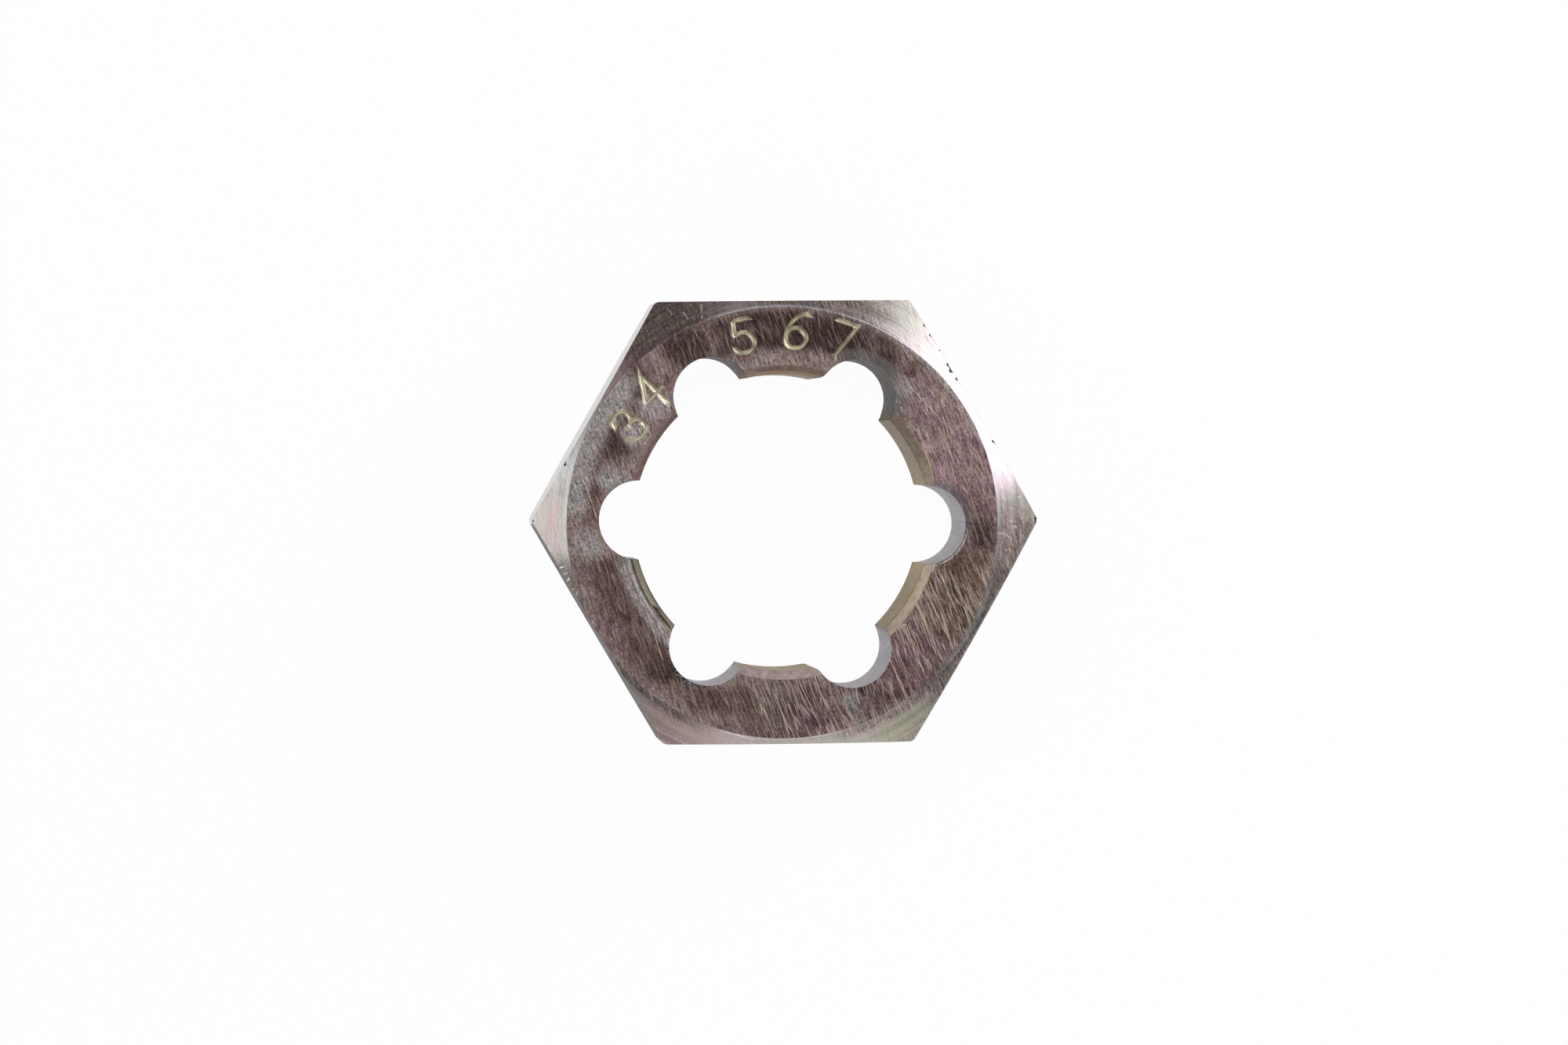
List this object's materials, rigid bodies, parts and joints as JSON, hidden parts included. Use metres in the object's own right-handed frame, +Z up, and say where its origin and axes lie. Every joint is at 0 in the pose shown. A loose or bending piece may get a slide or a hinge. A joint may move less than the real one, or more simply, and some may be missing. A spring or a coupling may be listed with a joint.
{
  "type": "rethreading die",
  "caption": "Hexagonal steel rethreading die: a threaded bore parted by chip holes into cutting lands, chamfered corners, turned with a spanner.",
  "frame": {"origin": "the bore's axis in the bottom face, which the die lies on; the hexagon's middle is 0.25 mm beside it, along +X", "axes": "+Z up along the bore's axis, out of the marked face; +X towards a corner of the hexagon, the right-hand one in the picture; +Y square to a flat, the upper one in the picture"},
  "size_m": [0.0361, 0.0316, 0.01],
  "materials": {
    "tool_steel": "heat-tinted, scratched tool steel with turned chamfers and ground faces"
  },
  "bodies": {
    "root": {"die_body": "tool_steel"}
  },
  "joints": []
}
